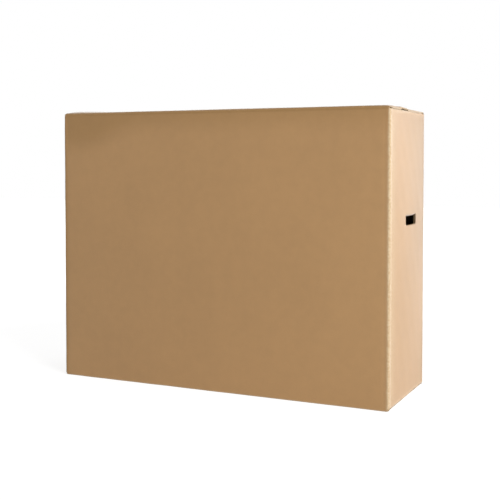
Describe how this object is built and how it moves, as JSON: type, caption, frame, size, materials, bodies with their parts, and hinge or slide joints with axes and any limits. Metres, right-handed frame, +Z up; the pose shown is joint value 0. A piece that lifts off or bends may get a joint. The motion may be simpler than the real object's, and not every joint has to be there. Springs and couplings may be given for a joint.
{
  "type": "cardboard bike box",
  "caption": "Long, tall closed carton of double-wall corrugated board with creased flaps and a die-cut hand hole in each narrow end.",
  "frame": {"origin": "middle of the footprint, on the surface that the closed box stands on", "axes": "+Z up; +X along the long walls, towards the end with its hand hole in the picture; -Y out of the long front wall"},
  "size_m": [1.3736, 0.4598, 1.05],
  "materials": {
    "kraft_board": "unprinted brown kraft liner, matte, slightly rough, with faint fibre and flute lines",
    "staple_wire": "flat zinc-coated stitching wire"
  },
  "bodies": {
    "carton": {"front_panel": "kraft_board", "back_panel": "kraft_board", "left_end_panel": "kraft_board", "right_end_panel": "kraft_board", "joint_tab": "kraft_board", "bottom_flap_front": "kraft_board", "bottom_flap_back": "kraft_board", "bottom_flap_left": "kraft_board", "bottom_flap_right": "kraft_board", "joint_stitch_01": "staple_wire", "joint_stitch_02": "staple_wire", "joint_stitch_03": "staple_wire", "joint_stitch_04": "staple_wire", "joint_stitch_05": "staple_wire", "joint_stitch_06": "staple_wire", "joint_stitch_07": "staple_wire", "joint_stitch_08": "staple_wire", "joint_stitch_09": "staple_wire", "joint_stitch_10": "staple_wire", "joint_stitch_11": "staple_wire", "joint_stitch_12": "staple_wire", "joint_stitch_13": "staple_wire", "joint_stitch_14": "staple_wire", "joint_stitch_15": "staple_wire", "joint_stitch_16": "staple_wire", "bottom_staple_01": "staple_wire", "bottom_staple_02": "staple_wire", "bottom_staple_03": "staple_wire", "bottom_staple_04": "staple_wire", "bottom_staple_05": "staple_wire", "bottom_staple_06": "staple_wire", "bottom_staple_07": "staple_wire", "bottom_staple_08": "staple_wire", "bottom_staple_09": "staple_wire", "bottom_staple_10": "staple_wire", "bottom_staple_11": "staple_wire", "bottom_staple_12": "staple_wire", "bottom_staple_13": "staple_wire", "bottom_staple_14": "staple_wire", "bottom_staple_15": "staple_wire", "bottom_staple_16": "staple_wire"},
    "top_flap_front": {"top_flap_front": "kraft_board"},
    "top_flap_back": {"top_flap_back": "kraft_board"},
    "top_flap_left": {"top_flap_left": "kraft_board"},
    "top_flap_right": {"top_flap_right": "kraft_board"},
    "hand_hole_flap_left": {"hand_hole_flap_left": "kraft_board"},
    "hand_hole_flap_right": {"hand_hole_flap_right": "kraft_board"}
  },
  "joints": [
    {"name": "top_flap_front_fold", "type": "hinge", "parent": "carton", "child": "top_flap_front", "pos_m": [0, -0.225, 1.05], "axis": [1, 0, 0], "range_deg": [0, 255]},
    {"name": "top_flap_back_fold", "type": "hinge", "parent": "carton", "child": "top_flap_back", "pos_m": [0, 0.225, 1.05], "axis": [-1, 0, 0], "range_deg": [0, 255]},
    {"name": "top_flap_right_fold", "type": "hinge", "parent": "carton", "child": "top_flap_right", "pos_m": [0.668, 0, 1.0357], "axis": [0, -1, 0], "range_deg": [0, 85]},
    {"name": "top_flap_left_fold", "type": "hinge", "parent": "carton", "child": "top_flap_left", "pos_m": [-0.668, 0, 1.0357], "axis": [0, 1, 0], "range_deg": [0, 85]},
    {"name": "hand_hole_right_fold", "type": "hinge", "parent": "carton", "child": "hand_hole_flap_right", "pos_m": [0.67734, 0, 0.6697], "axis": [0, 1, 0], "range_deg": [-115, 55]},
    {"name": "hand_hole_left_fold", "type": "hinge", "parent": "carton", "child": "hand_hole_flap_left", "pos_m": [-0.67734, 0, 0.6697], "axis": [0, -1, 0], "range_deg": [-115, 55]}
  ]
}
